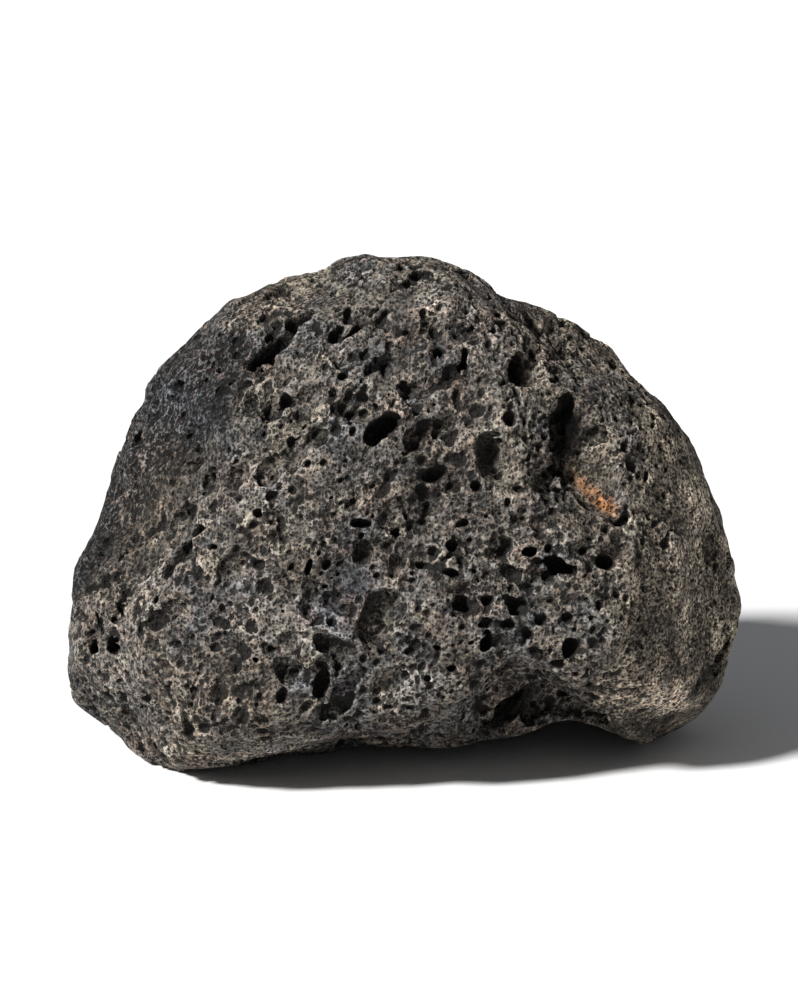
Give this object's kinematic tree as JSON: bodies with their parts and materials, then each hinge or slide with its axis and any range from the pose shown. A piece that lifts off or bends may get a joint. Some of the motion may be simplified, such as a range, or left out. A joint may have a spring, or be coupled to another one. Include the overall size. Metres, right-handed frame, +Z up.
{
  "type": "lava rock",
  "caption": "Loose rounded boulder of dark vesicular lava, a broad pitted face in front, smoother on the right, standing on the flat of its underside.",
  "frame": {"origin": "bottom centre of the bounding box, on the plane the stone stands on", "axes": "+Z up, the broad pitted face looks along -Y, +X to the right of that face and along the stone's length"},
  "size_m": [0.2526, 0.1816, 0.188],
  "materials": {
    "lava_stone": "rough, porous, dry"
  },
  "bodies": {
    "root": {"lava_rock": "lava_stone"}
  },
  "joints": []
}
